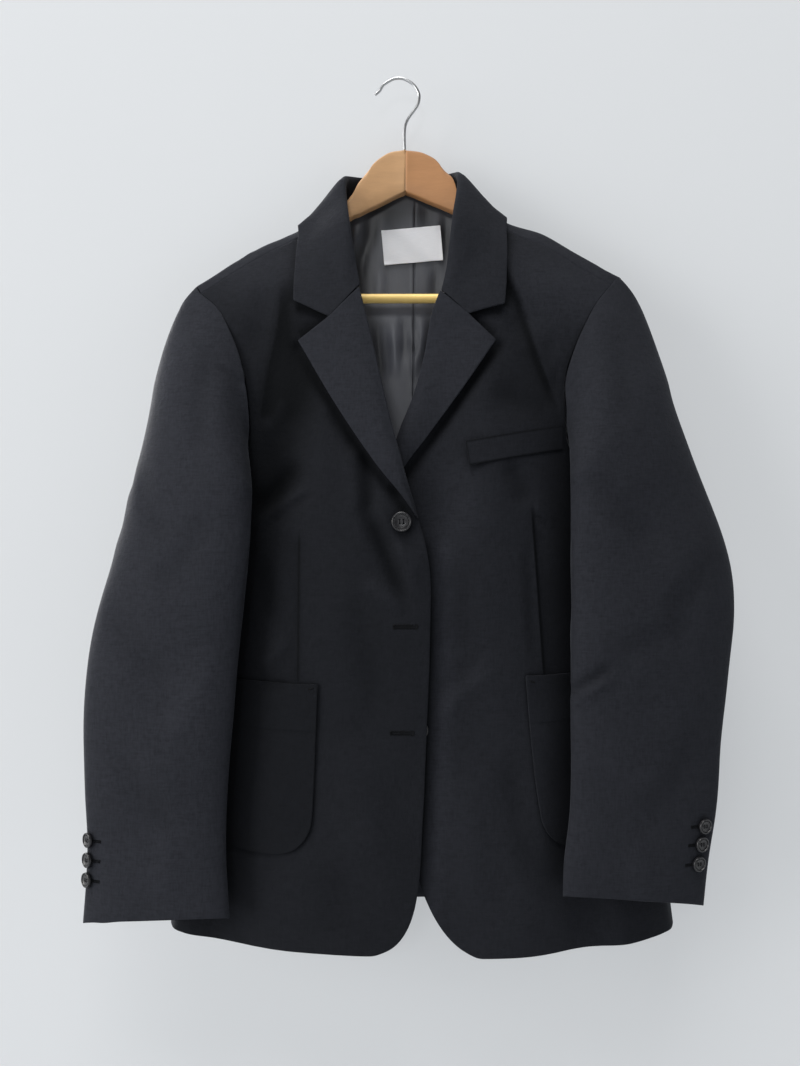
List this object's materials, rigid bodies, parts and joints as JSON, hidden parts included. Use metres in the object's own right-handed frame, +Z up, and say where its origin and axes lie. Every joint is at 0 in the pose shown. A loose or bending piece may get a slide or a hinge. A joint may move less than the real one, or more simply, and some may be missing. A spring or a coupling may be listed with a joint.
{
  "type": "single breasted blazer on a hanger",
  "caption": "Oversized charcoal single-breasted blazer with notch lapels and patch pockets, hanging on a shaped wooden hanger.",
  "frame": {"origin": "inside of the hook's bend, where the rail or pin carries the hanger", "axes": "+Z up, -Y out of the garment's front, +X to the wearer's left"},
  "size_m": [0.6706, 0.1296, 0.9329],
  "materials": {
    "wool": "matte",
    "satin": "satin",
    "label_weave": "matte",
    "horn": "satin",
    "wood": "satin",
    "bar_wood": "satin",
    "wire": "polished"
  },
  "bodies": {
    "root": {"front_right": "wool", "front_left": "wool", "back_right": "wool", "back_left": "wool", "sleeve_top_right": "wool", "sleeve_under_right": "wool", "sleeve_top_left": "wool", "sleeve_under_left": "wool", "collar": "wool", "lapel_right": "wool", "lapel_left": "wool", "pocket_right": "wool", "pocket_left": "wool", "breast_welt": "wool", "lining_back": "satin", "label": "label_weave", "button_front_1": "horn", "button_front_2": "horn", "button_front_3": "horn", "button_cuff_right_1": "horn", "button_cuff_right_2": "horn", "button_cuff_right_3": "horn", "button_cuff_left_1": "horn", "button_cuff_left_2": "horn", "button_cuff_left_3": "horn", "hanger_arm_right": "wood", "hanger_arm_left": "wood", "hanger_bar": "bar_wood", "hanger_hook": "wire"}
  },
  "joints": []
}
